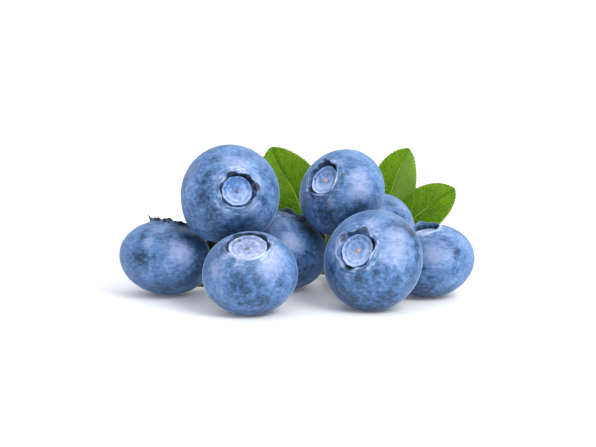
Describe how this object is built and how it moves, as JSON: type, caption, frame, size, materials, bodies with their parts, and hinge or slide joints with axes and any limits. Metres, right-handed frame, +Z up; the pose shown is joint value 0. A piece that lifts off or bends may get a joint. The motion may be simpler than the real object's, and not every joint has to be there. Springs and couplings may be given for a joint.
{
  "type": "blueberry sprig",
  "caption": "Cut sprig of ripe blueberries heaped round green racemes, with oval leaves standing up behind from a woody twig.",
  "frame": {"origin": "middle of the sprig's footprint, on the surface that it lies on", "axes": "+X along the heap's length, to the right when seen from its front; +Y from the front berries to the twig behind; +Z up"},
  "size_m": [0.0598, 0.0488, 0.0258],
  "materials": {
    "berry_skin": "blue-black skin under a pale waxy bloom, rubbed off in patches",
    "leaf": "vivid green, softly glossy, with paler veins",
    "green_stalk": "smooth green, a little reddish where it meets the light",
    "bark": "thin brown bark, pale wood at the cut"
  },
  "bodies": {
    "root": {"berry_left": "berry_skin", "berry_top_left": "berry_skin", "berry_front_left": "berry_skin", "berry_middle": "berry_skin", "berry_top_right": "berry_skin", "berry_front_right": "berry_skin", "berry_back_right": "berry_skin", "berry_right": "berry_skin", "leaf_left": "leaf", "leaf_upper_right": "leaf", "leaf_right": "leaf", "pedicel_left": "green_stalk", "pedicel_top_left": "green_stalk", "pedicel_front_left": "green_stalk", "pedicel_middle": "green_stalk", "pedicel_top_right": "green_stalk", "pedicel_front_right": "green_stalk", "pedicel_back_right": "green_stalk", "pedicel_right": "green_stalk", "raceme_left": "green_stalk", "raceme_back": "green_stalk", "raceme_right": "green_stalk", "twig": "bark"}
  },
  "joints": []
}
